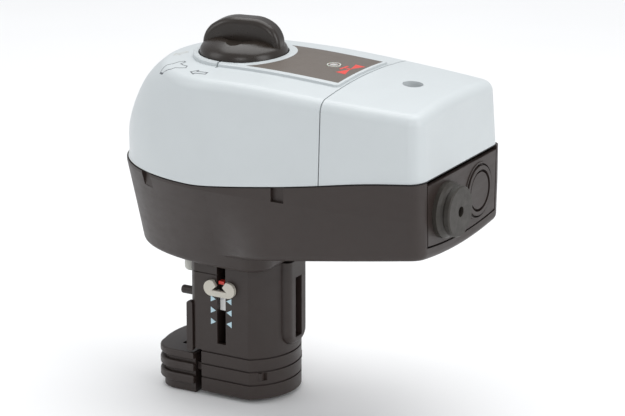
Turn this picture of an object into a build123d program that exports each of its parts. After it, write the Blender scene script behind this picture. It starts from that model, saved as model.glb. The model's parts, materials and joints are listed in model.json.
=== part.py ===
"""Motorized valve actuator, modelled as an assembly of separate pieces.

Frame: origin on the spindle axis at the bottom face of the neck ring, +Z up,
+X towards the cable end, -Y towards the stroke scale.  All sizes in millimetres.
"""

import os
from math import cos, pi, sin

from build123d import *

# ------------------------------------------------------------------ driving dimensions
# Housing plan outline
NOSE_X = 5.0  # centre of the elliptical nose
NOSE_A = 68.0  # nose half-axis along X
HALF_W = 48.5  # half width at the widest place
TAPER_X = 40.0  # the sides start to close in here
END_X = 122.0  # cable-end face
END_HALF_W = 42.5
END_R = 7.5
WALL = 2.4

# Parting line between the dark lower housing and the light covers
PART_Z = 115.0  # section planes of both halves start here, just below the parting line
PARTING = [(-6, 116.3), (12, 117.6), (40, 121.5), (66, 125.7), (88, 129.5), (123, 133.3)]
PART_GAP = 0.6  # shadow gap that the gasket fills

# Covers
COVER_DRAFT = 0.05  # how far the walls lean in per mm of height
NOSE_LEAN = [(0, 0), (13, 0.8), (25.7, 2.6), (35, 6.2), (43.9, 11.4), (51.4, 18.6), (59, 29)]
CROWN_R = 300.0
TOP_Z = 172.4
SHOULDER_R = 6.0
SEAM_X = 69.0
SEAM_GAP = 0.6

# Lower housing
HULL_Z = 70.0  # flat underside around the neck
HULL_A = 61.0
HULL_HALF_W = 33.0
HULL_END_X = 29.0
HULL_R = 4.0
SIDE_LEAN = 2.0  # how far the cable half's sides lean in from PART_Z to HULL_Z
UNDER_Z = 73.6  # underside of the cable half at x = 0
UNDER_SLOPE = 0.155
UNDER_SAG = 6.9
UNDER_HALF = 60.0

# Neck
NECK_R = 28.3
NECK_FLAT = 23.6
NECK_BACK_X = -18.5
RING_BACK_X = -12.0
RING_TOP_Z = 22.0
VALVE_R = 17.0
TUBE_R = 20.5
CAVITY_R = 16.5
WEB_Z = 25.0
SLOT_W = 5.0
SLOT_Z = 26.7

# Locking slide
FORK_Z0, FORK_Z1 = 9.8, 13.7
FORK_Y0, FORK_Y1 = 17.1, 20.6
FORK_MOUTH_Y = 15.6  # the fork's slots open into the bore out to here
FIT = 0.1

# Drive
MODULE = 1.0
NUT_TEETH = 48
IDLER_TEETH = 36
PINION_TEETH = 12
GEAR_Z = 96.0
GEAR_H = 6.0
IDLER_Z = 103.0
IDLER_H = 5.0
ROD_R = 4.95
PLATE_T = 2.0
LOWER_PLATE_Z = 90.0
UPPER_PLATE_Z = 111.0
IDLER_X = MODULE * (NUT_TEETH + PINION_TEETH) / 2
MOTOR_X = IDLER_X + MODULE * (IDLER_TEETH + PINION_TEETH) / 2

# Knob
KNOB_R = 22.0
KNOB_Z = 173.4  # height of the widest rim
KNOB_TOP_Z = 192.0
WING_CORNERS = [(20.0, 186.0), (10, 191.2), (-8, 191.0), (-20.2, 184.0)]
WING_RADII = [12, 16, 22, 13]
COLLAR_R = 25.2
COLLAR_TOP_Z = 173.2
CUP_Z = 166.2

# Label, button and cover screw
LABEL_X = 66.0
LABEL_HALF_W = 22.5
BEZEL_X = 67.6
BEZEL_HALF_W = 25.5
BEZEL_RISE = 1.2
BUTTON_X = 51.0
BUTTON_R = 2.9
RING_R = 3.5
SCREW_X = 94.6

# Cable end
PANEL_T = 2.5
ENTRY_Y = 17.4
ENTRY_Z = 115.4

PARTS = []


def finish(builder, name):
    """Label a finished piece and keep it for export."""
    builder.part.label = name
    PARTS.append(builder.part)


# ------------------------------------------------------------------ shared shapes
def housing_outline(inset, shrink=0.0, nose_shrink=0.0):
    """Plan outline of the housing."""
    side = HALF_W - inset - shrink
    end_x = END_X - inset - shrink
    end_side = END_HALF_W - inset - shrink
    nose_a = NOSE_A - inset - shrink - nose_shrink
    with BuildSketch() as outline:
        with BuildLine():
            EllipticalCenterArc((NOSE_X, 0), nose_a, side, start_angle=90, arc_size=180)
            Line((NOSE_X, -side), (TAPER_X, -side))
            TangentArc((TAPER_X, -side), (end_x, -end_side), tangent=(1, 0))
            Line((end_x, -end_side), (end_x, end_side))
            TangentArc((TAPER_X, side), (end_x, end_side), tangent=(1, 0))
            Line((TAPER_X, side), (NOSE_X, side))
        make_face()
        fillet(outline.vertices().group_by(Axis.X)[-1], END_R - inset / 2)
    return outline.sketch


def above_parting(offset):
    """Side view of everything above the parting line, lifted by an offset."""
    line = [(x, z + offset) for x, z in PARTING]
    nose_z = line[0][1]
    end_z = line[-1][1]
    with BuildSketch() as region:
        with BuildLine():
            Line((-90, nose_z), line[0])
            Spline(*line, tangents=((1, 0), (1, 0.09)))
            Polyline(line[-1], (150, end_z + 2.5), (150, 260), (-90, 260), (-90, nose_z))
        make_face()
    return region.sketch


def crown_profile(rise):
    """Side view below the crowned top, mirrored under the crown's own axis.

    Drawn below the axis, so that the revolved surface has its seam underneath.
    """
    axis_z = TOP_Z - CROWN_R
    top = [(-70, 162), (-38, 169.6), (-8, 172), (30, 172.6), (66, 171), (95, 169.3), (130, 167)]
    line = [(x, 2 * axis_z - z - rise) for x, z in top]
    with BuildSketch() as profile:
        with BuildLine():
            Spline(*line)
            Polyline(line[-1], (line[-1][0], axis_z), (line[0][0], axis_z), line[0])
        make_face()
    return profile.sketch


def crown_block(rise):
    """Everything below the crowned top surface, lifted by a rise."""
    with BuildPart() as block:
        with BuildSketch(Plane.XZ):
            add(crown_profile(rise))
        revolve(axis=Axis((0, 0, TOP_Z - CROWN_R), (1, 0, 0)))
    return block.part


def cover_block(inset):
    """Outer (inset 0) or inner shape of both covers together, down to PART_Z."""
    crown = crown_block(-inset)
    with BuildPart() as block:
        for height, lean in NOSE_LEAN:
            with BuildSketch(Plane.XY.offset(PART_Z + height)):
                add(housing_outline(inset, COVER_DRAFT * height, lean))
        loft()
        add(crown, mode=Mode.INTERSECT)
        rim = block.edges().filter_by(lambda e: e.bounding_box().min.Z > PART_Z + 5)
        fillet(rim, SHOULDER_R - inset / 2)
    return block.part


def hull_outline(a, side, end_x, end_side, radius):
    """Nose half of the lower housing with a blunt rounded end towards +X."""
    with BuildSketch() as outline:
        with BuildLine():
            EllipticalCenterArc((NOSE_X, 0), a, side, start_angle=90, arc_size=180)
            TangentArc((NOSE_X, -side), (end_x, -end_side), tangent=(1, 0))
            Line((end_x, -end_side), (end_x, end_side))
            TangentArc((NOSE_X, side), (end_x, end_side), tangent=(1, 0))
        make_face()
        fillet(outline.vertices().group_by(Axis.X)[-1], radius)
    return outline.sketch


def hull_block(inset):
    """Deep part of the lower housing, around the neck, with leaning walls."""
    side = HALF_W - inset
    foot = HULL_HALF_W - inset
    end_x = HULL_END_X - inset
    with BuildPart() as hull:
        with BuildSketch(Plane.XY.offset(PART_Z)):
            add(hull_outline(NOSE_A - inset, side, end_x + 6, side - 4, 12))
        with BuildSketch(Plane.XY.offset(HULL_Z + inset)):
            add(hull_outline(HULL_A - inset, foot, end_x, foot - 1, 12))
        loft(ruled=True)
        fillet(hull.edges().group_by(Axis.Z)[0], HULL_R - inset)
    return hull.part


def tub_outline(side0, side1, end_x, end_side, radius):
    """Cable half in plan: the side swings from side0 out to side1."""
    with BuildSketch() as outline:
        with BuildLine():
            Line((NOSE_X, side0), (NOSE_X, -side0))
            Spline((NOSE_X, -side0), (TAPER_X, -side1), tangents=((1, 0), (1, 0)))
            TangentArc((TAPER_X, -side1), (end_x, -end_side), tangent=(1, 0))
            Line((end_x, -end_side), (end_x, end_side))
            TangentArc((TAPER_X, side1), (end_x, end_side), tangent=(1, 0))
            Spline((NOSE_X, side0), (TAPER_X, side1), tangents=((1, 0), (1, 0)))
        make_face()
        fillet(outline.vertices().group_by(Axis.X)[-1], radius)
    return outline.sketch


def tub_block(inset):
    """Shallow cable half of the lower housing, with its sloped, bowed underside."""
    side = HALF_W - inset
    foot = side - SIDE_LEAN
    end_x = END_X - inset
    end_side = END_HALF_W - inset
    radius = END_R - inset / 2
    low = UNDER_Z + inset
    edge = low + UNDER_SAG
    with BuildPart() as tub:
        with BuildSketch(Plane.XY.offset(PART_Z)):
            add(tub_outline(side - 0.01, side, end_x, end_side, radius))
        with BuildSketch(Plane.XY.offset(HULL_Z)):
            add(tub_outline(HULL_HALF_W - inset, foot, end_x, end_side - SIDE_LEAN, radius))
        loft(ruled=True)
        with BuildSketch(Plane.YZ):
            with BuildLine():
                ThreePointArc((-UNDER_HALF, edge), (0, low), (UNDER_HALF, edge))
                Polyline(
                    (UNDER_HALF, edge), (UNDER_HALF, 40), (-UNDER_HALF, 40), (-UNDER_HALF, edge)
                )
            make_face()
        extrude(amount=150, dir=(1, 0, UNDER_SLOPE), mode=Mode.SUBTRACT)
        chin = tub.edges().filter_by(
            lambda e: e.bounding_box().max.Z < 103 and e.center().X > NOSE_X + 1
        )
        fillet(chin, 3.5 - inset / 2)
    return tub.part


def lower_block(inset):
    """Lower housing as a full block, open towards the parting line."""
    tub = tub_block(inset)
    hull = hull_block(inset)
    with BuildPart() as block:
        with BuildSketch(Plane.XY.offset(PART_Z)):
            add(housing_outline(inset))
        extrude(amount=25)
        add(tub)
        add(hull)
    return block.part


def gear_profile(teeth, bore_r):
    """Spur gear with straight-flanked stub teeth and running backlash."""
    pitch_r = MODULE * teeth / 2
    tip_r = pitch_r + 0.8 * MODULE
    root_r = pitch_r - 1.15 * MODULE
    pitch_angle = 2 * pi / teeth
    half_tip = 0.11 * pitch_angle
    half_root = 0.32 * pitch_angle
    points = []
    for tooth in range(teeth):
        middle = tooth * pitch_angle
        corners = [(root_r, -half_root), (tip_r, -half_tip), (tip_r, half_tip), (root_r, half_root)]
        points += [(r * cos(middle + a), r * sin(middle + a)) for r, a in corners]
    with BuildSketch() as profile:
        with BuildLine():
            Polyline(*points, close=True)
        make_face()
        Circle(bore_r, mode=Mode.SUBTRACT)
    return profile.sketch


def d_section(inset):
    """Neck section: a round with flats on the scale side, the far side and the back."""
    half = NECK_FLAT - inset
    with BuildSketch() as section:
        Circle(NECK_R - inset)
        with Locations(((NECK_R - inset + NECK_BACK_X + inset) / 2, 0)):
            Rectangle(NECK_R - NECK_BACK_X - 2 * inset, 2 * half, mode=Mode.INTERSECT)
        corners = section.vertices()
        fillet(corners, 1.2)
    return section.sketch


def ring_section(inset):
    """Section of the grooved ring at the foot of the neck, with its inner tube."""
    front = NECK_R - inset
    with BuildSketch() as section:
        Circle(front)
        with Locations(((front + RING_BACK_X) / 2, 0)):
            Rectangle(front - RING_BACK_X, 2 * (NECK_FLAT - inset), mode=Mode.INTERSECT)
        Circle(TUBE_R)
    return section.sketch


def plate_outline():
    """Outline shared by both gearbox plates."""
    with BuildSketch() as outline:
        with Locations((19, 0)):
            RectangleRounded(94, 56, 12)
    return outline.sketch


def pillar_positions():
    """Places of the gearbox pillars, posts and screws."""
    return [(x, y) for x in (-20, 60) for y in (-21, 21)]


# ------------------------------------------------------------------ lower housing
housing_outer = lower_block(0.0)
housing_cavity = lower_block(WALL)
panel_sill = ENTRY_Z - 17.4

with BuildPart() as lower_housing:
    add(housing_outer)
    add(housing_cavity, mode=Mode.SUBTRACT)
    # posts for the gearbox, the circuit board and the cover screw
    with BuildSketch(Plane.XY.offset(HULL_Z + 1)):
        with Locations(*pillar_positions()):
            Circle(3.5)
    extrude(amount=LOWER_PLATE_Z - HULL_Z - 1)
    with BuildSketch(Plane.XY.offset(HULL_Z + 12)):
        with Locations(*[(x, y) for x in (76, 112) for y in (-30, 30)]):
            Circle(2.5)
        with Locations((SCREW_X, 0)):
            Circle(4)
    extrude(amount=18)
    with BuildSketch(Plane.XY.offset(100)):
        with Locations((SCREW_X, 0)):
            Circle(4)
    extrude(amount=22)
    with BuildSketch(Plane.XY.offset(122)):
        with Locations((SCREW_X, 0)):
            Circle(2.05)
    extrude(amount=-14, mode=Mode.SUBTRACT)
    # trim the posts that stick out below the sloped underside
    add(housing_outer, mode=Mode.INTERSECT)
    with BuildSketch(Plane.XZ):
        add(above_parting(0))
    extrude(amount=80, both=True, mode=Mode.SUBTRACT)
    # opening for the neck spigot and its screws
    with BuildSketch(Plane.XY.offset(HULL_Z - 1)):
        Circle(TUBE_R - 0.5)
        with Locations((14, 19), (14, -19), (-14, 19), (-14, -19)):
            Circle(1.6)
    extrude(amount=5, mode=Mode.SUBTRACT)
    # window in the end wall for the cable panel
    with BuildSketch(Plane.YZ.offset(END_X + 1)):
        with BuildLine():
            ThreePointArc((-35.4, panel_sill + 2.5), (0, panel_sill), (35.4, panel_sill + 2.5))
            Polyline(
                (35.4, panel_sill + 2.5), (36.6, 140), (-36.6, 140), (-35.4, panel_sill + 2.5)
            )
        make_face()
    extrude(amount=-8, mode=Mode.SUBTRACT)
    # prying notches under the parting line
    for side in (-1, 1):
        with BuildSketch(Plane.XZ.offset(-side * (HALF_W + 2))):
            with Locations((47, PART_Z + 4.8)):
                Rectangle(7, 9)
        extrude(amount=side * 3.9, mode=Mode.SUBTRACT)
        with BuildSketch(Plane.XY.offset(PART_Z - 6)):
            with Locations((-33, side * 40.8)):
                Rectangle(7.5, 5, rotation=side * 26)
        extrude(amount=8, mode=Mode.SUBTRACT)
finish(lower_housing, "lower_housing")

# ------------------------------------------------------------------ cable end
panel_x = END_X - PANEL_T
with BuildPart() as cable_panel:
    with BuildSketch(Plane.YZ.offset(panel_x)):
        with BuildLine():
            ThreePointArc((-34.6, panel_sill + 3.4), (0, panel_sill + 0.9), (34.6, panel_sill + 3.4))
            Polyline(
                (34.6, panel_sill + 3.4), (35.7, 131.4), (-35.7, 131.4), (-34.6, panel_sill + 3.4)
            )
        make_face()
        with Locations((-ENTRY_Y, ENTRY_Z)):
            Circle(10.6, mode=Mode.SUBTRACT)
        with Locations((ENTRY_Y, ENTRY_Z)):
            Circle(10.6, mode=Mode.SUBTRACT)
    extrude(amount=PANEL_T)
    with BuildSketch(Plane.YZ.offset(END_X)):
        with Locations((ENTRY_Y, ENTRY_Z)):
            Circle(14.2)
            Circle(13.4, mode=Mode.SUBTRACT)
    extrude(amount=0.4)
    with BuildSketch(Plane.YZ.offset(END_X)):
        with Locations((ENTRY_Y, ENTRY_Z)):
            Circle(13.4)
            Circle(12.5, mode=Mode.SUBTRACT)
    extrude(amount=-1.2, mode=Mode.SUBTRACT)
finish(cable_panel, "cable_panel")

entry_plane = Plane(origin=(0, -ENTRY_Y, ENTRY_Z), x_dir=(1, 0, 0), z_dir=(0, 0, 1))
with BuildPart() as cable_grommet:
    with BuildSketch(entry_plane):
        with BuildLine():
            Polyline(
                (panel_x - 2.4, 2.6),
                (panel_x - 2.4, 11.6),
                (panel_x, 12.6),
                (panel_x, 10.6),
                (END_X, 10.6),
                (END_X, 13.8),
                (END_X + 2.2, 13.8),
                (END_X + 3.4, 12.4),
                (END_X + 4.6, 11.6),
                (END_X + 5.6, 12.5),
                (END_X + 7.8, 12.5),
                (END_X + 8.4, 11.9),
                (END_X + 8.4, 2.6),
                close=True,
            )
        make_face()
    revolve(axis=Axis((0, -ENTRY_Y, ENTRY_Z), (1, 0, 0)))
finish(cable_grommet, "cable_grommet")

blank_plane = Plane(origin=(0, ENTRY_Y, ENTRY_Z), x_dir=(1, 0, 0), z_dir=(0, 0, 1))
with BuildPart() as blanking_plug:
    with BuildSketch(blank_plane):
        with BuildLine():
            Polyline(
                (panel_x - 1.6, 0),
                (panel_x - 1.6, 11.2),
                (panel_x, 11.2),
                (panel_x, 10.6),
                (END_X, 10.6),
                (END_X, 12.4),
                (END_X + 0.9, 12.4),
                (END_X + 0.9, 10.4),
                (END_X - 1.4, 10.4),
                (END_X - 1.4, 9.6),
                (END_X + 0.6, 9.2),
                (END_X + 0.6, 0),
                close=True,
            )
        make_face()
    revolve(axis=Axis((0, ENTRY_Y, ENTRY_Z), (1, 0, 0)))
finish(blanking_plug, "blanking_plug")

# ------------------------------------------------------------------ covers
cover_outer = cover_block(0.0)
cover_inner = cover_block(WALL)
bezel_top = crown_block(BEZEL_RISE)
label_bed = crown_block(BEZEL_RISE - 0.8)
label_top = crown_block(BEZEL_RISE - 0.1)

with BuildSketch() as bezel_outline:
    with Locations((BEZEL_X / 2, 0)):
        Rectangle(BEZEL_X, 2 * BEZEL_HALF_W)
    fillet(bezel_outline.vertices().group_by(Axis.X)[-1], 2.5)
with BuildSketch() as label_outline:
    with Locations((LABEL_X / 2, 0)):
        Rectangle(LABEL_X, 2 * LABEL_HALF_W)
    fillet(label_outline.vertices().group_by(Axis.X)[-1], 0.6)
    Circle(COLLAR_R + 1.4, mode=Mode.SUBTRACT)

with BuildPart() as bezel_pad:
    with BuildSketch(Plane.XY.offset(160)):
        add(bezel_outline.sketch)
    extrude(amount=20)
    add(bezel_top, mode=Mode.INTERSECT)
with BuildPart() as label_pocket:
    with BuildSketch(Plane.XY.offset(160)):
        add(label_outline.sketch)
    extrude(amount=20)
    add(label_bed, mode=Mode.SUBTRACT)

with BuildPart() as cover_shell:
    add(cover_outer)
    add(bezel_pad.part)
    add(cover_inner, mode=Mode.SUBTRACT)
    add(label_pocket.part, mode=Mode.SUBTRACT)
    with BuildSketch(Plane.XZ):
        add(above_parting(PART_GAP))
    extrude(amount=80, both=True, mode=Mode.INTERSECT)

with BuildPart() as seam_wall:
    with BuildSketch(Plane.YZ.offset(SEAM_X - 2.6)):
        with Locations((0, 150)):
            Rectangle(100, 100)
    extrude(amount=2.2)
    add(cover_inner, mode=Mode.INTERSECT)
    with BuildSketch(Plane.XZ):
        add(above_parting(PART_GAP))
    extrude(amount=80, both=True, mode=Mode.INTERSECT)

with BuildPart() as main_cover:
    add(cover_shell.part)
    split(bisect_by=Plane.YZ.offset(SEAM_X - SEAM_GAP / 2), keep=Keep.BOTTOM)
    add(seam_wall.part)
    # raised collar and cup around the knob
    with BuildSketch(Plane.XZ):
        with BuildLine():
            Polyline(
                (0, CUP_Z - 2.4),
                (COLLAR_R, CUP_Z - 2.4),
                (COLLAR_R, COLLAR_TOP_Z - 0.6),
                (COLLAR_R - 0.6, COLLAR_TOP_Z),
                (0, COLLAR_TOP_Z),
                close=True,
            )
        make_face()
    revolve(axis=Axis.Z)
    with BuildSketch(Plane.XY.offset(CUP_Z)):
        Circle(KNOB_R + 0.6)
    extrude(amount=12, mode=Mode.SUBTRACT)
    # bushing for the clutch sleeve
    with BuildSketch(Plane.XY.offset(CUP_Z - 14)):
        Circle(11)
    extrude(amount=13)
    with BuildSketch(Plane.XY.offset(CUP_Z - 15)):
        Circle(8.05)
    extrude(amount=18, mode=Mode.SUBTRACT)
    # pointer slit in the collar
    with BuildSketch(Plane.XY.offset(CUP_Z + 3.5)):
        with Locations((0, -KNOB_R - 2)):
            Rectangle(1.0, 6)
    extrude(amount=5, mode=Mode.SUBTRACT)
    # hole for the button and its light ring
    with BuildSketch(Plane.XY.offset(160)):
        with Locations((BUTTON_X, 0)):
            Circle(RING_R + 0.05)
    extrude(amount=20, mode=Mode.SUBTRACT)
finish(main_cover, "main_cover")

with BuildPart() as terminal_cover:
    add(cover_shell.part)
    split(bisect_by=Plane.YZ.offset(SEAM_X + SEAM_GAP / 2), keep=Keep.TOP)
    # screw well
    with BuildSketch(Plane.XY.offset(160)):
        with Locations((SCREW_X, 0)):
            Circle(7)
    extrude(amount=8)
    with BuildSketch(Plane.XY.offset(163)):
        with Locations((SCREW_X, 0)):
            Circle(5.1)
    extrude(amount=10, mode=Mode.SUBTRACT)
    with BuildSketch(Plane.XY.offset(159)):
        with Locations((SCREW_X, 0)):
            Circle(2.2)
    extrude(amount=5, mode=Mode.SUBTRACT)
finish(terminal_cover, "terminal_cover")

with BuildPart() as terminal_screw:
    with BuildSketch(Plane.XY.offset(163)):
        with Locations((SCREW_X, 0)):
            Circle(4.2)
    extrude(amount=2.6)
    fillet(terminal_screw.edges().group_by(Axis.Z)[-1], 0.5)
    with BuildSketch(Plane.XY.offset(165.8)):
        with Locations((SCREW_X, 0)):
            Rectangle(5.6, 1.1)
            Rectangle(1.1, 5.6)
    extrude(amount=-1.6, mode=Mode.SUBTRACT)
    with BuildSketch(Plane.XY.offset(112)):
        with Locations((SCREW_X, 0)):
            Circle(2.0)
    extrude(amount=51)
finish(terminal_screw, "terminal_screw")

strip_block = cover_block(0.9)
with BuildPart() as seam_strip:
    with BuildSketch(Plane.YZ.offset(SEAM_X - 0.22)):
        with Locations((0, 150)):
            Rectangle(100, 100)
    extrude(amount=0.4)
    add(strip_block, mode=Mode.INTERSECT)
    add(cover_inner, mode=Mode.SUBTRACT)
    with BuildSketch(Plane.XZ):
        add(above_parting(0.1))
    extrude(amount=80, both=True, mode=Mode.INTERSECT)

with BuildPart() as cover_gasket:
    with BuildSketch(Plane.XZ):
        add(above_parting(0))
    extrude(amount=80, both=True)
    with BuildSketch(Plane.XZ):
        add(above_parting(PART_GAP - 0.1))
    extrude(amount=80, both=True, mode=Mode.SUBTRACT)
    with BuildSketch(Plane.XY.offset(PART_Z - 5)):
        add(housing_outline(0.9))
        add(housing_outline(2.3), mode=Mode.SUBTRACT)
    extrude(amount=40, mode=Mode.INTERSECT)
    # strip that closes the seam between the two covers
    add(seam_strip.part)
finish(cover_gasket, "cover_gasket")

with BuildPart() as label:
    with BuildSketch(Plane.XY.offset(160)):
        add(label_outline.sketch)
        with Locations((BUTTON_X, 0)):
            Circle(RING_R + 0.05, mode=Mode.SUBTRACT)
    extrude(amount=20)
    add(label_top, mode=Mode.INTERSECT)
    add(label_bed, mode=Mode.SUBTRACT)
finish(label, "label_plate")

with BuildPart() as light_ring:
    with BuildSketch(Plane.XY.offset(166)):
        with Locations((BUTTON_X, 0)):
            Circle(RING_R)
            Circle(BUTTON_R + 0.08, mode=Mode.SUBTRACT)
    extrude(amount=7.3)
finish(light_ring, "light_ring")

with BuildPart() as reset_button:
    with BuildSketch(Plane.XY.offset(164)):
        with Locations((BUTTON_X, 0)):
            Circle(BUTTON_R)
    extrude(amount=9.2)
    fillet(reset_button.edges().group_by(Axis.Z)[-1], 0.4)
    with BuildSketch(Plane.XY.offset(163)):
        with Locations((BUTTON_X, 0)):
            Circle(3.6)
    extrude(amount=1)
finish(reset_button, "reset_button")

# ------------------------------------------------------------------ knob and clutch
with BuildPart() as knob:
    # arched wing
    with BuildSketch(Plane.XZ) as wing:
        with BuildLine():
            Polyline((-20.8, KNOB_Z + 1), (20.8, KNOB_Z + 1), *WING_CORNERS, close=True)
        make_face()
        for corner, radius in zip(WING_CORNERS, WING_RADII):
            fillet(wing.vertices().sort_by_distance((*corner, 0))[0], radius)
    extrude(amount=5.4, both=True)
    fillet(knob.edges().filter_by(lambda e: e.bounding_box().max.Z > KNOB_TOP_Z - 12), 3.0)
    # domed skirt, with a groove along the foot of the wing
    with BuildSketch(Plane.XZ):
        with BuildLine():
            Polyline((0, KNOB_Z - 3.2), (KNOB_R - 0.6, KNOB_Z - 3.2), (KNOB_R, KNOB_Z))
            Spline(
                (KNOB_R, KNOB_Z),
                (KNOB_R - 1.9, KNOB_Z + 4.0),
                (KNOB_R - 6.4, KNOB_Z + 6.5),
                (KNOB_R - 12, KNOB_Z + 7.3),
                tangents=((-0.1, 1), (-1, 0)),
            )
            Polyline(
                (KNOB_R - 12, KNOB_Z + 7.3), (KNOB_R - 13, KNOB_Z + 6.2), (0, KNOB_Z + 6.2), (0, KNOB_Z - 3.2)
            )
        make_face()
    revolve(axis=Axis.Z)
    # finger scallops in the skirt's crest
    for direction in (-1, 1):
        with BuildSketch(Plane.XZ.offset(direction * 5.6)):
            with Locations((0, KNOB_Z + 18.4)):
                Circle(12)
        extrude(amount=direction * 17, mode=Mode.SUBTRACT)
    # shaft socket
    with BuildSketch(Plane.XY.offset(KNOB_Z - 3.2)):
        Rectangle(8, 8)
    extrude(amount=5, mode=Mode.SUBTRACT)
    knob.part = knob.part.rotate(Axis.Z, 8)
finish(knob, "knob")

with BuildPart() as knob_shaft:
    with BuildSketch(Plane.XY.offset(128)):
        Rectangle(8, 8)
    extrude(amount=KNOB_Z + 1.8 - 128)
    with BuildSketch(Plane.XY.offset(125)):
        Circle(9)
        Circle(6.5, mode=Mode.SUBTRACT)
        with PolarLocations(7.8, 3):
            Rectangle(6, 2.4, mode=Mode.SUBTRACT)
    extrude(amount=3)
    with BuildSketch(Plane.XY.offset(128)):
        Circle(9)
    extrude(amount=2)
    knob_shaft.part = knob_shaft.part.rotate(Axis.Z, 8)
finish(knob_shaft, "knob_shaft")

with BuildPart() as clutch_sleeve:
    with BuildSketch(Plane.XY.offset(148)):
        Circle(10)
    extrude(amount=3.5)
    with BuildSketch(Plane.XY.offset(148)):
        Circle(8)
    extrude(amount=18.9)
    with BuildSketch(Plane.XY.offset(148)):
        Rectangle(8.1, 8.1)
    extrude(amount=19, mode=Mode.SUBTRACT)
    clutch_sleeve.part = clutch_sleeve.part.rotate(Axis.Z, 8)
finish(clutch_sleeve, "clutch_sleeve")

# ------------------------------------------------------------------ neck
with BuildPart() as neck_column:
    with BuildSketch(Plane.XY.offset(RING_TOP_Z)):
        add(d_section(0))
    extrude(amount=HULL_Z - RING_TOP_Z)
    with BuildSketch():
        add(ring_section(0))
    extrude(amount=RING_TOP_Z)
    # spigot that locates the neck in the housing floor
    with BuildSketch(Plane.XY.offset(HULL_Z)):
        Circle(TUBE_R - 0.5)
    extrude(amount=5)
    # boss with a blind slot on the cable side
    with BuildSketch(Plane.YZ.offset(20)) as boss:
        with Locations((0, (HULL_Z + 25.5) / 2)):
            Rectangle(19, HULL_Z - 25.5)
        fillet(boss.vertices().group_by(Axis.Y)[0], 7)
    extrude(amount=11)
    boss_rim = neck_column.edges().filter_by(lambda e: e.bounding_box().min.X > 30.9)
    fillet(boss_rim.filter_by(lambda e: e.center().Z < HULL_Z - 0.1), 3.5)
    with BuildSketch(Plane.YZ.offset(32)):
        with Locations((0, 45.4)):
            Rectangle(6, 31.6)
    extrude(amount=-5, mode=Mode.SUBTRACT)
    # cavity for the stem coupling, web and valve bore
    with BuildSketch(Plane.XY.offset(WEB_Z)):
        Circle(CAVITY_R)
    extrude(amount=HULL_Z + 5 - WEB_Z, mode=Mode.SUBTRACT)
    with BuildSketch():
        Circle(VALVE_R)
    extrude(amount=RING_TOP_Z, mode=Mode.SUBTRACT)
    with BuildSketch():
        Circle(11)
    extrude(amount=WEB_Z, mode=Mode.SUBTRACT)
    # stroke slot, with a deeper channel behind its lower end
    with BuildSketch(Plane.XZ.offset(10)):
        with Locations((0, (SLOT_Z + HULL_Z + 6) / 2)):
            Rectangle(SLOT_W, HULL_Z + 6 - SLOT_Z)
    extrude(amount=NECK_FLAT - 9, mode=Mode.SUBTRACT)
    with BuildSketch(Plane.XY.offset(WEB_Z - 2)):
        with Locations((0, -17.5)):
            Rectangle(SLOT_W, 7)
    extrude(amount=5, mode=Mode.SUBTRACT)
    # ring grooves
    for z in (7.0, 14.1, 20.9):
        with BuildSketch(Plane.XY.offset(z)):
            add(ring_section(-1))
            add(ring_section(0.8), mode=Mode.SUBTRACT)
            with Locations((RING_BACK_X - 15, 0)):
                Rectangle(30, 60, mode=Mode.SUBTRACT)
        extrude(amount=0.9, mode=Mode.SUBTRACT)
    # slots for the fork, right through to the window in the ring
    for side in (-1, 1):
        with BuildSketch(Plane.YZ.offset(-32)):
            with Locations((side * (FORK_Y0 + FORK_Y1) / 2, (FORK_Z0 + FORK_Z1) / 2)):
                Rectangle(FORK_Y1 - FORK_Y0 + 2 * FIT, FORK_Z1 - FORK_Z0 + 2 * FIT)
        extrude(amount=64, mode=Mode.SUBTRACT)
        with BuildSketch(Plane.YZ.offset(-32)):
            with Locations((side * (FORK_MOUTH_Y + FORK_Y0) / 2, (FORK_Z0 + FORK_Z1) / 2)):
                Rectangle(FORK_Y0 - FORK_MOUTH_Y + 2 * FIT, FORK_Z1 - FORK_Z0 + 2 * FIT)
        extrude(amount=41, mode=Mode.SUBTRACT)
    # guide rib on the back corner of the scale side
    with BuildSketch(Plane.XZ.offset(NECK_FLAT - 1.5)):
        with Locations((-18.3, 33.5)):
            SlotOverall(27, 3.4, rotation=90)
    extrude(amount=2.4)
    # step line above the scale and screw holes for the housing
    with BuildSketch(Plane.XZ.offset(NECK_FLAT - 0.5)):
        with Locations((-11, 63)):
            Rectangle(17, 0.6)
    extrude(amount=2, mode=Mode.SUBTRACT)
    with BuildSketch(Plane.XY.offset(HULL_Z)):
        with Locations((14, 19), (14, -19), (-14, 19), (-14, -19)):
            Circle(1.45)
    extrude(amount=-12, mode=Mode.SUBTRACT)
    # hole for the rest pin
    with BuildSketch(Plane.YZ.offset(-22)):
        with Locations((0, 43)):
            Circle(2.2)
    extrude(amount=8, mode=Mode.SUBTRACT)
finish(neck_column, "neck_column")

with BuildPart() as neck_screws:
    with BuildSketch(Plane.XY.offset(HULL_Z + WALL)):
        with Locations((14, 19), (14, -19), (-14, 19), (-14, -19)):
            Circle(2.8)
    extrude(amount=2.2)
    with BuildSketch(Plane.XY.offset(HULL_Z + WALL - 12)):
        with Locations((14, 19), (14, -19), (-14, 19), (-14, -19)):
            Circle(1.45)
    extrude(amount=12)
finish(neck_screws, "neck_screws")

with BuildPart() as rest_pin:
    with BuildSketch(Plane.YZ.offset(-37.4)):
        with Locations((0, 43)):
            Circle(2.2)
    extrude(amount=20.4)
    fillet(rest_pin.edges().group_by(Axis.X)[0], 0.8)
finish(rest_pin, "rest_pin")

with BuildPart() as drain_plug:
    with BuildSketch(Plane.XY.offset(HULL_Z - 11)):
        with Locations((-24.5, -12)):
            Circle(3.4)
    extrude(amount=11)
    fillet(drain_plug.edges().group_by(Axis.Z)[0], 2.2)
finish(drain_plug, "drain_plug")

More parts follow.
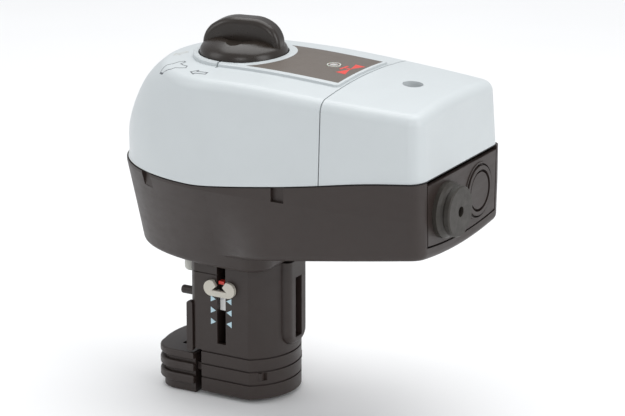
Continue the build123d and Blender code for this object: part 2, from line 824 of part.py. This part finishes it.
# ------------------------------------------------------------------ locking slide
def slide_outline(inset):
    """Plan outline of the slide's handle, open towards the neck tube."""
    half = 25.0 - inset
    back = -41.5 + inset
    with BuildSketch() as outline:
        with BuildLine():
            Polyline((-28, half), (-16, half), (-16, -half), (-28, -half))
            TangentArc((-28, -half), (back, -half + 13), tangent=(-1, 0))
            ThreePointArc((back, -half + 13), (back - 1.5, 0), (back, half - 13))
            TangentArc((-28, half), (back, half - 13), tangent=(-1, 0))
        make_face()
        Circle(TUBE_R + 0.4, mode=Mode.SUBTRACT)
    return outline.sketch


def slide_fin(low, high):
    """One rounded grip rib of the slide's handle."""
    with BuildPart() as fin:
        with BuildSketch(Plane.XY.offset(low)):
            add(slide_outline(0))
        extrude(amount=high - low)
        rims = fin.edges().filter_by(lambda e: e.bounding_box().size.Z < 0.01)
        fillet(rims.filter_by(lambda e: abs(e.center().Y) > 14 or e.center().X < -30), 1.2)
    return fin.part


slide_fins = [slide_fin(*span) for span in ((2.4, 7.2), (9.0, 13.6), (15.6, 19.5))]
with BuildPart() as locking_slide:
    with BuildSketch(Plane.XY.offset(-2)):
        add(slide_outline(2.2))
    extrude(amount=21)
    for fin in slide_fins:
        add(fin)
    # finger pockets in the top rib
    with BuildSketch(Plane.XY.offset(19.5)):
        with Locations((-26.5, -12.5), (-26.5, 12.5)):
            RectangleRounded(5, 3.6, 0.8)
    extrude(amount=-3, mode=Mode.SUBTRACT)
    # fork prongs, flush with the bore's wall
    for side in (-1, 1):
        with BuildSketch(Plane.XY.offset(FORK_Z0)):
            with Locations((1, side * (FORK_Y0 + FORK_Y1) / 2)):
                Rectangle(40, FORK_Y1 - FORK_Y0)
        extrude(amount=FORK_Z1 - FORK_Z0)
finish(locking_slide, "locking_slide")

# ------------------------------------------------------------------ stroke scale
with BuildPart() as scale_marks:
    for side in (-1, 1):
        for z in (50.2, 44.2, 38.2):
            with BuildSketch(Plane.XZ.offset(NECK_FLAT)):
                with BuildLine():
                    Polyline(
                        (side * 3.1, z), (side * 6.0, z + 1.6), (side * 6.0, z - 1.6), close=True
                    )
                make_face()
            extrude(amount=0.25)
finish(scale_marks, "scale_marks")

with BuildPart() as stroke_clip:
    with BuildSketch(Plane.XZ.offset(NECK_FLAT + 0.35)):
        with Locations((0, 56.4)):
            SlotOverall(17.8, 8)
        with BuildLine():
            Polyline(
                (4.3, 55.3), (1.9, 57.6), (4.2, 61), (-4.2, 61), (-1.9, 57.6), (-4.3, 55.3), close=True
            )
        make_face(mode=Mode.SUBTRACT)
    extrude(amount=1.9)
    # feet that grip the edges of the slot
    for side in (-1, 1):
        with BuildSketch(Plane.XZ.offset(NECK_FLAT - 1.6)):
            with Locations((side * (SLOT_W / 2 - 0.35), 53.9)):
                Rectangle(0.6, 2.4)
        extrude(amount=2.05)
finish(stroke_clip, "stroke_clip")

# ------------------------------------------------------------------ spindle
with BuildPart() as spindle:
    with BuildSketch(Plane.XY.offset(58)):
        Circle(ROD_R)
    extrude(amount=119.5 - 58)
    chamfer(spindle.edges().group_by(Axis.Z)[-1], 0.8)
finish(spindle, "spindle")

with BuildPart() as stem_coupling:
    with BuildSketch(Plane.XY.offset(46)):
        Circle(9)
    extrude(amount=16)
    chamfer(stem_coupling.edges().group_by(Axis.Z)[-1], 1)
    with BuildSketch(Plane.XY.offset(58)):
        Circle(ROD_R)
    extrude(amount=5, mode=Mode.SUBTRACT)
    with BuildSketch(Plane.XY.offset(46)):
        Circle(4)
    extrude(amount=10, mode=Mode.SUBTRACT)
    with BuildSketch(Plane.XZ.offset(6)):
        with Locations((0, 54)):
            Circle(1.5)
    extrude(amount=4, mode=Mode.SUBTRACT)
finish(stem_coupling, "stem_coupling")

with BuildPart() as stroke_slider:
    with BuildSketch(Plane.XZ.offset(9.2)):
        with Locations((0, 52.6)):
            Rectangle(SLOT_W - 0.3, 14.8)
    extrude(amount=10.8)
    with BuildSketch(Plane.XZ.offset(6)):
        with Locations((0, 54)):
            Circle(1.5)
    extrude(amount=5)
finish(stroke_slider, "stroke_slider")

with BuildPart() as white_strip:
    with BuildSketch(Plane.XZ.offset(20)):
        with Locations((0, 48.6)):
            Rectangle(SLOT_W - 0.3, 9.6)
    extrude(amount=0.6)
finish(white_strip, "white_strip")

with BuildPart() as red_pointer:
    with BuildSketch(Plane.XZ.offset(20)):
        with Locations((0, 59.2)):
            Rectangle(3.2, 1.6)
    extrude(amount=3.4)
finish(red_pointer, "red_pointer")

# ------------------------------------------------------------------ gearbox
with BuildPart() as lower_plate:
    with BuildSketch(Plane.XY.offset(LOWER_PLATE_Z)):
        add(plate_outline())
        Circle(8, mode=Mode.SUBTRACT)
        with Locations((IDLER_X, 0)):
            Circle(2, mode=Mode.SUBTRACT)
        with Locations(*pillar_positions()):
            Circle(1.6, mode=Mode.SUBTRACT)
    extrude(amount=PLATE_T)
finish(lower_plate, "lower_plate")

with BuildPart() as upper_plate:
    with BuildSketch(Plane.XY.offset(UPPER_PLATE_Z)):
        add(plate_outline())
        Circle(10.06, mode=Mode.SUBTRACT)
        with Locations((IDLER_X, 0)):
            Circle(2, mode=Mode.SUBTRACT)
        with Locations((MOTOR_X, 0)):
            Circle(3.5, mode=Mode.SUBTRACT)
        with Locations(*pillar_positions()):
            Circle(1.6, mode=Mode.SUBTRACT)
    extrude(amount=PLATE_T)
finish(upper_plate, "upper_plate")

with BuildPart() as gearbox_pillars:
    with BuildSketch(Plane.XY.offset(LOWER_PLATE_Z + PLATE_T)):
        with Locations(*pillar_positions()):
            Circle(3)
            Circle(1.6, mode=Mode.SUBTRACT)
    extrude(amount=UPPER_PLATE_Z - LOWER_PLATE_Z - PLATE_T)
finish(gearbox_pillars, "gearbox_pillars")

with BuildPart() as gearbox_screws:
    with BuildSketch(Plane.XY.offset(LOWER_PLATE_Z)):
        with Locations(*pillar_positions()):
            Circle(1.55)
    extrude(amount=UPPER_PLATE_Z + PLATE_T - LOWER_PLATE_Z)
    with BuildSketch(Plane.XY.offset(UPPER_PLATE_Z + PLATE_T)):
        with Locations(*pillar_positions()):
            Circle(2.8)
    extrude(amount=2)
finish(gearbox_screws, "gearbox_screws")

with BuildPart() as thrust_bearing:
    with BuildSketch(Plane.XY.offset(LOWER_PLATE_Z + PLATE_T)):
        Circle(15)
        Circle(8, mode=Mode.SUBTRACT)
    extrude(amount=2.4)
finish(thrust_bearing, "thrust_bearing")

nut_foot_z = LOWER_PLATE_Z + PLATE_T + 2.45
with BuildPart() as nut_gear:
    with BuildSketch(Plane.XY.offset(GEAR_Z)):
        add(gear_profile(NUT_TEETH, 8))
    extrude(amount=GEAR_H)
    with BuildSketch(Plane.XY.offset(nut_foot_z)):
        Circle(10)
    extrude(amount=121 - nut_foot_z)
    with BuildSketch(Plane.XY.offset(nut_foot_z)):
        Circle(ROD_R + 0.05)
    extrude(amount=8, mode=Mode.SUBTRACT)
    with BuildSketch(Plane.XY.offset(nut_foot_z + 8)):
        Circle(6.2)
    extrude(amount=30, mode=Mode.SUBTRACT)
finish(nut_gear, "nut_gear")

with BuildPart() as idler_gear:
    with BuildSketch(Plane.XY.offset(GEAR_Z)):
        add(gear_profile(PINION_TEETH, 2.05))
    extrude(amount=GEAR_H + 1)
    with BuildSketch(Plane.XY.offset(IDLER_Z)):
        add(gear_profile(IDLER_TEETH, 2.05))
    extrude(amount=IDLER_H)
    idler_gear.part = idler_gear.part.rotate(Axis.Z, 180 / PINION_TEETH)
    idler_gear.part = idler_gear.part.moved(Location((IDLER_X, 0, 0)))
finish(idler_gear, "idler_gear")

with BuildPart() as idler_shaft:
    with BuildSketch(Plane.XY.offset(LOWER_PLATE_Z)):
        with Locations((IDLER_X, 0)):
            Circle(2)
    extrude(amount=UPPER_PLATE_Z + PLATE_T - LOWER_PLATE_Z)
finish(idler_shaft, "idler_shaft")

with BuildPart() as motor_pinion:
    with BuildSketch(Plane.XY.offset(IDLER_Z)):
        add(gear_profile(PINION_TEETH, 1.5))
    extrude(amount=IDLER_H)
    motor_pinion.part = motor_pinion.part.moved(Location((MOTOR_X, 0, 0)))
finish(motor_pinion, "motor_pinion")

with BuildPart() as motor_shaft:
    with BuildSketch(Plane.XY.offset(IDLER_Z)):
        with Locations((MOTOR_X, 0)):
            Circle(1.5)
    extrude(amount=UPPER_PLATE_Z + 6 - IDLER_Z)
finish(motor_shaft, "motor_shaft")

with BuildPart() as motor:
    with BuildSketch(Plane.XY.offset(UPPER_PLATE_Z + PLATE_T)):
        with Locations((MOTOR_X, 0)):
            Circle(11.5)
    extrude(amount=26)
    fillet(motor.edges().group_by(Axis.Z)[-1], 1)
    with BuildSketch(Plane.XY.offset(UPPER_PLATE_Z + PLATE_T)):
        with Locations((MOTOR_X, 0)):
            Circle(1.55)
    extrude(amount=4.2, mode=Mode.SUBTRACT)
finish(motor, "motor")

# ------------------------------------------------------------------ electronics
with BuildPart() as circuit_board:
    with BuildSketch(Plane.XY.offset(100)):
        with Locations((94, 0)):
            Rectangle(44, 70)
        with Locations((SCREW_X, 0)):
            Circle(4.6, mode=Mode.SUBTRACT)
        with Locations(*[(x, y) for x in (76, 112) for y in (-30, 30)]):
            Circle(1.3, mode=Mode.SUBTRACT)
    extrude(amount=1.6)
finish(circuit_board, "circuit_board")

with BuildPart() as board_screws:
    with BuildSketch(Plane.XY.offset(101.6)):
        with Locations(*[(x, y) for x in (76, 112) for y in (-30, 30)]):
            Circle(2.4)
    extrude(amount=1.6)
    with BuildSketch(Plane.XY.offset(100)):
        with Locations(*[(x, y) for x in (76, 112) for y in (-30, 30)]):
            Circle(1.25)
    extrude(amount=1.6)
finish(board_screws, "board_screws")

with BuildPart() as terminal_block:
    with BuildSketch(Plane.YZ.offset(77)):
        with BuildLine():
            Polyline((-25, 101.6), (25, 101.6), (25, 112), (-25, 112), close=True)
        make_face()
    extrude(amount=11)
    with BuildSketch(Plane.XY.offset(112)):
        with Locations((82.5, 0)):
            with GridLocations(1, 6, 1, 8):
                Circle(2)
    extrude(amount=-4, mode=Mode.SUBTRACT)
    with BuildSketch(Plane.YZ.offset(88)):
        with Locations((0, 105)):
            with GridLocations(6, 1, 8, 1):
                Rectangle(3.6, 3.6)
    extrude(amount=-4, mode=Mode.SUBTRACT)
finish(terminal_block, "terminal_block")

with BuildPart() as terminal_clamps:
    with BuildSketch(Plane.XY.offset(108)):
        with Locations((82.5, 0)):
            with GridLocations(1, 6, 1, 8):
                Circle(1.9)
                Rectangle(3.0, 0.6, mode=Mode.SUBTRACT)
    extrude(amount=2.5)
finish(terminal_clamps, "terminal_clamps")

# ------------------------------------------------------------------ export
os.makedirs("parts", exist_ok=True)
for part in PARTS:
    export_step(part, f"parts/{part.label}.step")
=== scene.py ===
"""Looks of the motorized valve actuator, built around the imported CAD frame. Metres throughout."""

import json
import math

import bpy
from mathutils import Matrix, Vector


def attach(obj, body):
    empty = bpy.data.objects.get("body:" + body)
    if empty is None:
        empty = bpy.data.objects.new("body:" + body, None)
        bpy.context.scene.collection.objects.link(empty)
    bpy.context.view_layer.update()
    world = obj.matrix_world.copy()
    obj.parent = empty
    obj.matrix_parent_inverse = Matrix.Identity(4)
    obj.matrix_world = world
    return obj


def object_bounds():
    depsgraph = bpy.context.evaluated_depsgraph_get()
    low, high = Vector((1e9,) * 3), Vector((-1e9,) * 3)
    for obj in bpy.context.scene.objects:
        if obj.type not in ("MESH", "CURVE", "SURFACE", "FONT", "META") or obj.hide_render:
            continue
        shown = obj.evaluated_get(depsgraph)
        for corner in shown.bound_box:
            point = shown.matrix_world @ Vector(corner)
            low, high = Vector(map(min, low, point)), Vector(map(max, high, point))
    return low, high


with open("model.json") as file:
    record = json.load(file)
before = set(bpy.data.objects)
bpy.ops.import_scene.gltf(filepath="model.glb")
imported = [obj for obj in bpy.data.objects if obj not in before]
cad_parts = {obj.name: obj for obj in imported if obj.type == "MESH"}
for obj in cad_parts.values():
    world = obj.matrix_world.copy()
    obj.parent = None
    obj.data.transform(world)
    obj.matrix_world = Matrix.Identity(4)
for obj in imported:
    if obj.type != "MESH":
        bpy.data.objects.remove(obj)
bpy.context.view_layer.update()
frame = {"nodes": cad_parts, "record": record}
NODES = frame["nodes"]

# Sockets of Blender's Mix node in colour mode
MIX_FACTOR = 0
MIX_DARK = 6
MIX_LIGHT = 7
MIX_RESULT = 2


# ------------------------------------------------------------------ node helpers


class Surface:
    """A principled material with its nodes built step by step."""

    def __init__(self, name):
        self.material = bpy.data.materials.new(name)
        self.material.use_nodes = True
        self.tree = self.material.node_tree
        self.shader = self.tree.nodes["Principled BSDF"]
        self.place = self.tree.nodes.new("ShaderNodeTexCoord").outputs["Object"]

    def node(self, kind, **inputs):
        """Adds a node and sets its unconnected inputs by name."""
        made = self.tree.nodes.new(kind)
        for key, value in inputs.items():
            made.inputs[key.replace("_", " ")].default_value = value
        return made

    def link(self, source, target):
        """Joins an output socket to an input socket."""
        self.tree.links.new(source, target)

    def noise(self, scale, detail=2.0, roughness=0.5, stretch=None):
        """Noise over the object's own coordinates, optionally stretched."""
        made = self.node("ShaderNodeTexNoise", Scale=scale, Detail=detail, Roughness=roughness)
        if stretch:
            mapping = self.node("ShaderNodeMapping", Scale=stretch)
            self.link(self.place, mapping.inputs["Vector"])
            self.link(mapping.outputs["Vector"], made.inputs["Vector"])
        else:
            self.link(self.place, made.inputs["Vector"])
        return made.outputs["Fac"]

    def spread(self, source, low, high, start=0.3, end=0.7):
        """Maps a 0-1 texture to a range of values."""
        made = self.node("ShaderNodeMapRange")
        made.inputs["From Min"].default_value = start
        made.inputs["From Max"].default_value = end
        made.inputs["To Min"].default_value = low
        made.inputs["To Max"].default_value = high
        self.link(source, made.inputs["Value"])
        return made.outputs["Result"]

    def mix(self, source, dark, light):
        """Colour between two tones, steered by a 0-1 value."""
        made = self.tree.nodes.new("ShaderNodeMix")
        made.data_type = "RGBA"
        made.inputs[MIX_DARK].default_value = (*dark, 1)
        made.inputs[MIX_LIGHT].default_value = (*light, 1)
        self.link(source, made.inputs[MIX_FACTOR])
        return made.outputs[MIX_RESULT]

    def bump(self, layers):
        """Chains bump layers given as (height, strength, distance)."""
        normal = None
        for height, strength, distance in layers:
            made = self.node("ShaderNodeBump", Strength=strength, Distance=distance)
            self.link(height, made.inputs["Height"])
            if normal:
                self.link(normal, made.inputs["Normal"])
            normal = made.outputs["Normal"]
        self.link(normal, self.shader.inputs["Normal"])

    def set(self, **values):
        """Sets constants on the shader's own sockets."""
        for key, value in values.items():
            self.shader.inputs[key.replace("_", " ")].default_value = value


def tones(colour, spread):
    """A darker and a lighter version of a colour."""
    return [tuple(min(1.0, c * factor) for c in colour) for factor in (1 - spread, 1 + spread)]


def moulded(name, colour, roughness, grain=1500, depth=0.00006, variation=0.05):
    """Injection-moulded plastic with spark-eroded grain, faint flow marks and handling marks."""
    made = Surface(name)
    cloud = made.noise(22, detail=4, roughness=0.6)
    dark, light = tones(colour, variation)
    made.link(made.mix(made.spread(cloud, 0, 1), dark, light), made.shader.inputs["Base Color"])
    wear = made.noise(140, detail=6, roughness=0.7, stretch=(1, 0.35, 1.6))
    rough = made.spread(wear, roughness - 0.05, roughness + 0.06)
    made.link(rough, made.shader.inputs["Roughness"])
    made.bump([(made.noise(grain, detail=3, roughness=0.65), 0.35, depth), (cloud, 0.12, 0.0004)])
    made.set(Specular_IOR_Level=0.5)
    return made.material


def turned_metal(name, colour, roughness, stretch):
    """Machined metal with fine tool marks drawn out along the stretch."""
    made = Surface(name)
    dark, light = tones(colour, 0.08)
    lines = made.noise(900, detail=3, roughness=0.6, stretch=stretch)
    cloud = made.noise(60, detail=4)
    made.link(made.mix(made.spread(cloud, 0, 1), dark, light), made.shader.inputs["Base Color"])
    rough = made.spread(lines, roughness - 0.08, roughness + 0.12)
    made.link(rough, made.shader.inputs["Roughness"])
    made.bump([(lines, 0.3, 0.00003)])
    made.set(Metallic=1.0)
    return made.material


def rubber(name, colour, roughness):
    """Soft rubber with a bloomed, slightly dusty surface."""
    made = Surface(name)
    bloom = made.noise(260, detail=5, roughness=0.7)
    dark, light = tones(colour, 0.22)
    made.link(made.mix(made.spread(bloom, 0, 1), dark, light), made.shader.inputs["Base Color"])
    rough = made.spread(bloom, roughness + 0.08, roughness - 0.06)
    made.link(rough, made.shader.inputs["Roughness"])
    made.bump([(made.noise(1700, detail=2), 0.3, 0.00005), (bloom, 0.15, 0.0002)])
    made.set(Specular_IOR_Level=0.4)
    return made.material


def printed_film(name, colour):
    """Matt printed film with a very fine screen and a soft speckle."""
    made = Surface(name)
    screen = made.noise(2600, detail=2, roughness=0.8)
    dark, light = tones(colour, 0.16)
    made.link(made.mix(made.spread(screen, 0, 1), dark, light), made.shader.inputs["Base Color"])
    rough = made.spread(made.noise(90, detail=5), 0.42, 0.55)
    made.link(rough, made.shader.inputs["Roughness"])
    made.bump([(screen, 0.25, 0.00003)])
    made.set(Specular_IOR_Level=0.45)
    return made.material


def light_guide(name):
    """Frosted clear plastic with a fine frosted grain."""
    made = Surface(name)
    frost = made.noise(1200, detail=4)
    tint = made.mix(made.spread(frost, 0, 1), (0.5, 0.5, 0.46), (0.72, 0.72, 0.68))
    made.link(tint, made.shader.inputs["Base Color"])
    made.link(made.spread(frost, 0.22, 0.4), made.shader.inputs["Roughness"])
    made.bump([(frost, 0.2, 0.00004)])
    made.set(Subsurface_Weight=0.2, Subsurface_Scale=0.002)
    return made.material


# ------------------------------------------------------------------ materials by slot
# How tool marks are drawn out: along a shaft, around it, or along a plate
ALONG_Z = (1, 1, 0.05)
ROUND_Z = (1, 1, 12)
FLAT_X = (0.06, 1, 1)

SLOTS = {
    "cover_light": moulded("cover_light", (0.555, 0.590, 0.600), 0.36, variation=0.02),
    "housing_dark": moulded("housing_dark", (0.026, 0.017, 0.014), 0.46, grain=1300, variation=0.08),
    "knob_dark": moulded("knob_dark", (0.020, 0.0145, 0.011), 0.29, depth=0.00002, variation=0.1),
    "label_brown": printed_film("label_brown", (0.120, 0.100, 0.084)),
    "rubber_grey": rubber("rubber_grey", (0.030, 0.026, 0.021), 0.46),
    "gasket_black": rubber("gasket_black", (0.014, 0.013, 0.014), 0.62),
    "clip_beige": moulded("clip_beige", (0.56, 0.53, 0.46), 0.38, variation=0.06),
    "plug_grey": moulded("plug_grey", (0.52, 0.52, 0.48), 0.42, variation=0.06),
    "mark_blue": printed_film("mark_blue", (0.46, 0.62, 0.69)),
    "strip_white": moulded("strip_white", (0.88, 0.88, 0.87), 0.42, variation=0.03),
    "mark_red": moulded("mark_red", (0.66, 0.045, 0.03), 0.38, variation=0.08),
    "light_guide": light_guide("light_guide"),
    "steel": turned_metal("steel", (0.56, 0.56, 0.57), 0.32, ROUND_Z),
    "brass": turned_metal("brass", (0.74, 0.53, 0.24), 0.30, ROUND_Z),
    "gear_white": moulded("gear_white", (0.78, 0.76, 0.70), 0.42, variation=0.04),
    "board_green": printed_film("board_green", (0.02, 0.17, 0.075)),
    "block_grey": moulded("block_grey", (0.30, 0.32, 0.33), 0.48, variation=0.06),
}

# Nodes whose surface differs from the rest of their slot
NODE_LOOKS = {
    "lower_plate": turned_metal("plate_zinc", (0.52, 0.53, 0.52), 0.40, FLAT_X),
    "spindle": turned_metal("spindle_steel", (0.58, 0.58, 0.59), 0.24, ALONG_Z),
    "motor": turned_metal("motor_can", (0.50, 0.51, 0.52), 0.34, ALONG_Z),
}
NODE_LOOKS["upper_plate"] = NODE_LOOKS["lower_plate"]
NODE_LOOKS["reset_button"] = SLOTS["label_brown"]

for entry in frame["record"]["subparts"]:
    name = entry["node"]
    surface = NODE_LOOKS.get(name, SLOTS[entry["material_slot"]])
    node = NODES[name]
    node.data.materials.clear()
    node.data.materials.append(surface)


# ------------------------------------------------------------------ printed and moulded marks
ABOVE_ALL = 0.3  # a height above the whole part, where the rays that look for a surface start
PLATE_SINK = 0.0002  # how far a drawn plate reaches below the surface
PRINT_RISE = 0.00005  # how far printed marks stand proud
FAINT_RISE = 0.00004  # how far moulded marks stand proud
STROKE_PIECE = 0.0008  # longest flat piece of a drawn line, so that it follows a curved surface


def height_on(node, x, y):
    """Height of a node's upper surface at a place in plan."""
    found, point, _, _ = NODES[node].ray_cast(Vector((x, y, ABOVE_ALL)), Vector((0, 0, -1)))
    if not found:
        raise ValueError(f"nothing of {node} lies under {x}, {y}")
    return point.z


def drape(mesh_name, node, body, outlines, rise, material):
    """Thin plates with the given plan outlines, laid on a node's upper surface."""
    vertices, faces = [], []
    for outline in outlines:
        start = len(vertices)
        count = len(outline)
        heights = [height_on(node, x, y) for x, y in outline]
        vertices += [(x, y, z + rise) for (x, y), z in zip(outline, heights)]
        vertices += [(x, y, z - PLATE_SINK) for (x, y), z in zip(outline, heights)]
        faces.append([start + i for i in range(count)])
        faces.append([start + count + i for i in reversed(range(count))])
        for i in range(count):
            j = (i + 1) % count
            faces.append([start + i, start + count + i, start + count + j, start + j])
    mesh = bpy.data.meshes.new(mesh_name)
    mesh.from_pydata(vertices, [], faces)
    mesh.validate()
    mesh.materials.append(material)
    piece = bpy.data.objects.new(mesh_name, mesh)
    bpy.context.scene.collection.objects.link(piece)
    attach(piece, body)


def stroke_quads(points, width, closed=True):
    """Short overlapping quads that draw a line of the given width through points."""
    quads = []
    count = len(points)
    for i in range(count if closed else count - 1):
        start, end = Vector(points[i]), Vector(points[(i + 1) % count])
        along = (end - start).normalized()
        across = Vector((-along.y, along.x)) * width / 2
        start = start - along * width / 2
        end = end + along * width / 2
        parts = math.ceil((end - start).length / STROKE_PIECE)
        for k in range(parts):
            near = start.lerp(end, k / parts)
            far = start.lerp(end, (k + 1) / parts)
            corners = [near - across, far - across, far + across, near + across]
            quads.append([tuple(corner) for corner in corners])
    return quads


def turned(points, angle, centre, scale=1.0):
    """Turns a flat outline by an angle in degrees, scales it and moves it to a centre."""
    spin = Matrix.Rotation(math.radians(angle), 2)
    return [tuple(spin @ (Vector(p) * scale) + Vector(centre)) for p in points]


# Generic valve symbol on the label: two triangles, a stem and a bar
MARK_CENTRE = (0.0600, -0.0010)
MARK_ANGLE = 84
bow_low = [(-0.0085, -0.0036), (-0.0085, 0.0020), (-0.0004, -0.0007), (-0.0004, -0.0009)]
bow_high = [(0.0085, -0.0036), (0.0085, 0.0020), (0.0004, -0.0007), (0.0004, -0.0009)]
stem = [(-0.0005, -0.0012), (0.0005, -0.0012), (0.0005, 0.0030), (-0.0005, 0.0030)]
bar = [(-0.0034, 0.0024), (0.0034, 0.0024), (0.0034, 0.0036), (-0.0034, 0.0036)]
mark = [turned(shape, MARK_ANGLE, MARK_CENTRE) for shape in (bow_low, bow_high, stem, bar)]
drape("valve_symbol", "label_plate", "root", mark, PRINT_RISE, SLOTS["mark_red"])

# Outlined hand and arrows on the cover's nose
INK = printed_film("mark_ink", (0.10, 0.11, 0.12))
hand = [
    (0.0000, 0.0020), (0.0015, 0.0060), (0.0040, 0.0085), (0.0050, 0.0120), (0.0073, 0.0138),
    (0.0090, 0.0128), (0.0082, 0.0096), (0.0104, 0.0082), (0.0140, 0.0072), (0.0150, 0.0046),
    (0.0120, 0.0036), (0.0090, 0.0031), (0.0082, 0.0010), (0.0030, 0.0000),
]
arrow = [
    (0.0, 0.0), (0.0026, 0.0022), (0.0026, 0.0010), (0.0078, 0.0010), (0.0078, -0.0010),
    (0.0026, -0.0010), (0.0026, -0.0022),
]
hand_lines = stroke_quads(turned(hand, -4, (-0.0285, -0.0345), 0.92), 0.00050)
arrow_lines = stroke_quads(turned(arrow, 0, (-0.0090, -0.0355), 1.15), 0.00060)
drape("hand_symbol", "main_cover", "root", hand_lines, PRINT_RISE, INK)
drape("arrow_symbol", "main_cover", "root", arrow_lines, PRINT_RISE, INK)
press_lines = stroke_quads(turned(arrow, 62, (-0.0325, -0.0135)), 0.00045)
drape("press_symbol", "main_cover", "root", press_lines, FAINT_RISE, SLOTS["plug_grey"])

# Light hatch on the button's top: short lines, longest in the middle
BUTTON_X = 0.051
HATCH_ROWS = 5
HATCH_PITCH = 0.0007
HATCH_HALF = 0.0017  # half length of the middle line
HATCH_STEP = 0.00025  # how much shorter each next line is, at either end
HATCH_WIDTH = 0.00028
hatch = []
for row in range(HATCH_ROWS):
    from_middle = row - HATCH_ROWS // 2
    y = HATCH_PITCH * from_middle
    half = HATCH_HALF - HATCH_STEP * abs(from_middle)
    hatch += stroke_quads([(BUTTON_X - half, y), (BUTTON_X + half, y)], HATCH_WIDTH, closed=False)
drape("button_hatch", "reset_button", "reset_button", hatch, FAINT_RISE, SLOTS["strip_white"])

# ------------------------------------------------------------------ floor, lights and camera
FLOOR_SIZE = 6
FLOOR_GAP = 0.0005  # keeps the floor clear of the part's foot
low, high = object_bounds()
middle = (Vector(low) + Vector(high)) / 2

floor_look = Surface("floor_paper")
floor_cloud = floor_look.noise(3, detail=3)
floor_tint = floor_look.mix(floor_look.spread(floor_cloud, 0, 1), (0.86, 0.86, 0.86), (0.9, 0.9, 0.9))
floor_look.link(floor_tint, floor_look.shader.inputs["Base Color"])
floor_look.bump([(floor_look.noise(400, detail=3), 0.05, 0.0001)])
floor_look.set(Roughness=0.7)
floor_place = (middle.x, middle.y, low[2] - FLOOR_GAP)
bpy.ops.mesh.primitive_plane_add(size=FLOOR_SIZE, location=floor_place)
floor = bpy.context.object
floor.name = "floor"
floor.data.materials.append(floor_look.material)

world = bpy.data.worlds.new("studio")
world.use_nodes = True
sky = world.node_tree.nodes["Background"]
sky.inputs["Color"].default_value = (0.95, 0.97, 1.0, 1)
sky.inputs["Strength"].default_value = 0.56
bpy.context.scene.world = world
bpy.context.scene.view_settings.view_transform = "Standard"


LIT_POINT = (0.03, 0.0, 0.10)  # middle of the housing, where every soft box points


def area_light(name, place, width, height, power):
    """A soft box that faces the part, with its power in watts."""
    data = bpy.data.lights.new(name, "AREA")
    data.shape = "RECTANGLE"
    data.size = width
    data.size_y = height
    data.energy = power
    lamp = bpy.data.objects.new(name, data)
    lamp.location = place
    lamp.rotation_euler = (Vector(LIT_POINT) - Vector(place)).to_track_quat("-Z", "Y").to_euler()
    bpy.context.scene.collection.objects.link(lamp)


area_light("top_soft", (0.0, 0.3, 1.3), 1.5, 1.3, 14.5)
area_light("left_soft", (-1.0, -0.8, 0.7), 0.7, 0.9, 3.2)
area_light("right_soft", (1.25, -0.15, 0.55), 0.6, 0.9, 4.5)
area_light("front_soft", (0.55, -1.4, 0.75), 0.5, 0.5, 2.8)

# A long lens from in front and a little above, on a 36 mm sensor
CAMERA_PLACE = Vector((0.8131, -1.3511, 0.5917))
CAMERA_AIM = Vector((0.03897, 0.0, 0.09809))
camera_data = bpy.data.cameras.new("camera")
camera_data.sensor_width = 36
camera_data.lens = 190.1
camera_data.clip_end = 20
camera = bpy.data.objects.new("camera", camera_data)
camera.location = CAMERA_PLACE
camera.rotation_euler = (CAMERA_AIM - CAMERA_PLACE).to_track_quat("-Z", "Y").to_euler()
bpy.context.scene.collection.objects.link(camera)
bpy.context.scene.camera = camera
